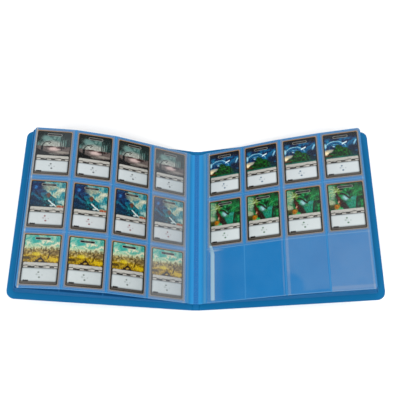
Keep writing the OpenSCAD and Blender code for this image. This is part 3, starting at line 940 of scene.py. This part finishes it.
def film(side_name, column):
    """Clear front of a column of pockets, swelling over each of them, and the flat film on its back."""
    node = f"{side_name}_film_{column}"
    part = max(column - 2, 0)
    seg = SEGMENTS[side_name][part]
    (a0, a1), (y0, y1), (b0, b1) = seg.span(node)
    look = dict(dict.fromkeys(("clear", "haze", "streak", "lip", "foot", "glare", "sill", "notch"), 0.0),
                **LOOKS[(side_name, column)])
    edges = []
    for row in (1, 2, 3):
        if f"{side_name}_card_{row}_{column}" in frame["nodes"]:
            (c0, c1), (v0, v1), _ = seg.span(f"{side_name}_card_{row}_{column}")
            u0, u1 = (c0 - a0) / (a1 - a0), (c1 - a0) / (a1 - a0)
            edges.append((u0, u1, v0, v1) if seg.side > 0 else (1 - u1, 1 - u0, v0, v1))
    material = film_material(f"pocket_film_{side_name}_{column}", seg.side, look, edges,
                             column * 1.7 + (0.0 if side_name == "left" else 9.0))
    weld_b = BACKING_B[1] + WELD_GAP
    across = np.append(np.linspace(0, 0.99, 29), 1.0)
    ny = 120
    verts, uvs = [], []
    for s in across.tolist():
        a = a0 + (a1 - a0) * s
        for j in range(ny + 1):
            t = j / ny
            y = y0 + (y1 - y0) * t
            r = (t * 3) % 1.0
            from_row = min(r, 1 - r) * (y1 - y0) / 3
            from_out = a1 - a
            pinch = min(1.0, from_row / PINCH_ROW) * min(1.0, from_out / PINCH_OUT)
            pinch = pinch * pinch * (3 - 2 * pinch)
            swell = SWELL * math.sin(math.pi * r) * math.sin(math.pi * min(s * 1.05, 1.0))
            lip = LIP * math.exp(-((a - a0) / LIP_W) ** 2) * math.sin(math.pi * r)
            b = weld_b + (b1 - weld_b + swell + lip) * pinch
            verts.append(seg.point(a, y, b))
            uvs.append((s if seg.side > 0 else 1 - s, y))
    faces = grid_faces(len(across) - 1, ny, flip=seg.side < 0)
    o = make(f"film_{side_name}_{column}", verts, faces, uvs, material, 60)
    body = f"{side_name}_leaf_1_{PARTS[part]}"
    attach(o, body)
    tuple(seg.point(a0, 0, weld_b))
    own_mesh(o)
    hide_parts(node)
    # the flat film stands just off the backing, and the last one stops short of the leaf's round corners
    rows = flat_rows(seg, a0, a1 - LEAF_RADIUS if column == 4 else a1, b0 + BACK_GAP, 10, 0.0)
    under = plate(f"back_film_{side_name}_{column}", rows, BACK_FILM_T, BACK_FILM, LEAF_H / 2 - 0.5 * MM)
    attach(under, body)


def back_film_material():
    """Thin cloudy film that shows mostly at a slant."""
    t = Tree("back_film")
    where = t.vector(t.u, t.v)
    cloud = t.noise(where, 18.0, 4.0, 0.6, 0.4)
    alpha = t.math("MINIMUM", t.step(cloud, 0.3, 0.75, 0.05, 0.16) + t.facing(0.3) * 0.2, 0.8)
    t.bump(cloud, 0.3, 0.0006)
    return t.set(Base_Color="dfe8ee", Roughness=0.15 + 0.2 * cloud, Specular_IOR_Level=0.6, Alpha=alpha)


BACK_FILM = back_film_material()
for side_name in SIDES:
    for column in range(1, 5):
        film(side_name, column)

# ------------------------ centre weld


def centre_weld():
    """Raised strip with a diamond knurl, its sides drawn in under its edges."""
    lo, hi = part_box("spine_weld")
    half, inset, y0, y1 = 4.5 * MM, 3.5 * MM, lo[1], hi[1]
    edge_t, height, sunk, fade_w = 0.5 * MM, 0.32 * MM, 0.12 * MM, 1.0 * MM
    pitch_x, pitch_y = 3.3 * MM, 4.3 * MM
    nx, ny = 24, 640
    verts, uvs, faces = [], [], grid_faces(nx, ny)
    for i in range(nx + 1):
        x = -half + 2 * half * i / nx
        for j in range(ny + 1):
            y = y0 + (y1 - y0) * j / ny
            u, v = x / pitch_x, y / pitch_y
            k = math.cos(math.pi * (u + v)) * math.cos(math.pi * (u - v))
            fade = min(1.0, (half - abs(x)) / fade_w)
            verts.append((x, y, WELD.z - sunk + height * k * fade))
            uvs.append((x, y))
    # sides down to the cover
    ring = [i * (ny + 1) for i in range(nx + 1)] + [nx * (ny + 1) + j for j in range(1, ny + 1)]
    ring += [i * (ny + 1) + ny for i in range(nx - 1, -1, -1)] + [j for j in range(ny - 1, 0, -1)]
    base = len(verts)
    for at_foot in (False, True):
        for k in ring:
            x, y, z = verts[k]
            verts.append((max(-inset, min(inset, x)), y, lo[2] if at_foot else z - edge_t))
            uvs.append((x, y))
    n = len(ring)
    for i in range(n):
        j = (i + 1) % n
        faces.append((ring[i], base + i, base + j, ring[j]))
        faces.append((base + i, base + n + i, base + n + j, base + j))
    o = make("centre_weld", verts, faces, uvs, CENTRE, 50)
    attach(o, "spine")
    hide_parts("spine_weld")


centre_weld()

# ------------------------ cover


COVER_RADIUS, COVER_EDGE, SPINE_EDGE = 14 * MM, 0.22 * MM, 0.15 * MM
HINGE_T, HINGE_TOP = 0.28 * MM, 0.8 * MM


def bevel(o, width):
    modifier = o.modifiers.new("edge", "BEVEL")
    modifier.width, modifier.segments = width, 2
    modifier.limit_method, modifier.angle_limit = "ANGLE", math.radians(50)


def cover(side_name, node, joint, body):
    """Cover panel with round outer corners, and the thin living hinge between it and the spine."""
    side = SIDES[side_name]
    pivot = Vector(JOINTS[joint]["pos_m"])
    rise = -math.radians(JOINTS[joint]["range_deg"][0])
    seg = Segment(side, pivot, (-side * math.cos(rise), 0, -math.sin(rise)))
    (a0, a1), (y0, y1), (b0, b1) = seg.span(node)
    half, flat_to = (y1 - y0) / 2, a1 - COVER_RADIUS
    rows = flat_rows(seg, a0, flat_to, b1, 26, 0.0) + flat_rows(seg, flat_to, a1, b1, 14, 0.0)[1:]
    panel = plate("cover_" + side_name, rows, b1 - b0, COVER, half, ny=40, round_out=COVER_RADIUS, smooth=40)
    bevel(panel, COVER_EDGE)
    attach(panel, body)
    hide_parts(node)
    # the hinge runs down from the spine and up again to the panel
    crease = "front_crease" if side < 0 else "back_crease"
    lo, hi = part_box(crease)
    x0 = lo[0] if side > 0 else hi[0]
    p0, mid, p1 = Vector((x0, 0, HINGE_TOP)), Vector((pivot.x, 0, hi[2])), seg.point(a0, 0, b1)
    down, level_way, rising = (Vector((side, 0, z)).normalized() for z in (-1.0, 0, 1.0))
    rows = curve_rows(p0, down, mid, level_way, 0, 0.001, side, 6)
    rows += curve_rows(mid, level_way, p1, rising, 0.001, 0.002, side, 6)[1:]
    web = plate("hinge_" + side_name, rows, HINGE_T, COVER, half, ny=40)
    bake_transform(web)
    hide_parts(crease)


cover("left", "front_cover", "front_cover_fold", "front_cover")
cover("right", "back_cover", "back_cover_fold", "back_cover")


def spine():
    """Strip between the two hinges."""
    lo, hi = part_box("spine_panel")
    rows = [(x, hi[2], 0.0, 1.0, x) for x in np.linspace(lo[0], hi[0], 13).tolist()]
    o = plate("spine_strip", rows, hi[2] - lo[2], COVER, (hi[1] - lo[1]) / 2, ny=40)
    bevel(o, SPINE_EDGE)
    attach(o, "spine")
    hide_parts("spine_panel")


spine()

# ------------------------ floor and light


def floor():
    """Pale table, which does not belong to the binder."""
    mesh = bpy.data.meshes.new("floor")
    s = 6.0
    mesh.from_pydata([(-s, -s, 0), (s, -s, 0), (s, s, 0), (-s, s, 0)], [], [(0, 1, 2, 3)])
    t = Tree("floor")
    n = t.noise(t.place, 4.0, 3.0)
    t.set(Base_Color=t.mix(n, (0.95, 0.95, 0.95, 1), (0.97, 0.97, 0.97, 1)), Roughness=0.8)
    mesh.materials.append(t.material)
    o = bpy.data.objects.new("floor", mesh)
    bpy.context.collection.objects.link(o)


floor()


def area(name, place, size, power):
    """Square light that faces the origin."""
    data = bpy.data.lights.new(name, "AREA")
    data.energy, data.size = power, size
    o = bpy.data.objects.new(name, data)
    bpy.context.collection.objects.link(o)
    o.location = place
    o.rotation_mode = "QUATERNION"
    o.rotation_quaternion = Vector(place).to_track_quat("Z", "Y")


area("key", (-0.6, -2.2, 3.2), 1.8, 100)
area("fill", (1.0, -1.0, 3.4), 1.8, 48)
area("rim", (0.1, 2.6, 2.0), 2.4, 30)
world = bpy.data.worlds.new("world")
world.use_nodes = True
world.node_tree.nodes["Background"].inputs[0].default_value = (1, 1, 1, 1)
world.node_tree.nodes["Background"].inputs[1].default_value = 0.45
bpy.context.scene.world = world
bpy.context.scene.view_settings.view_transform = "Standard"
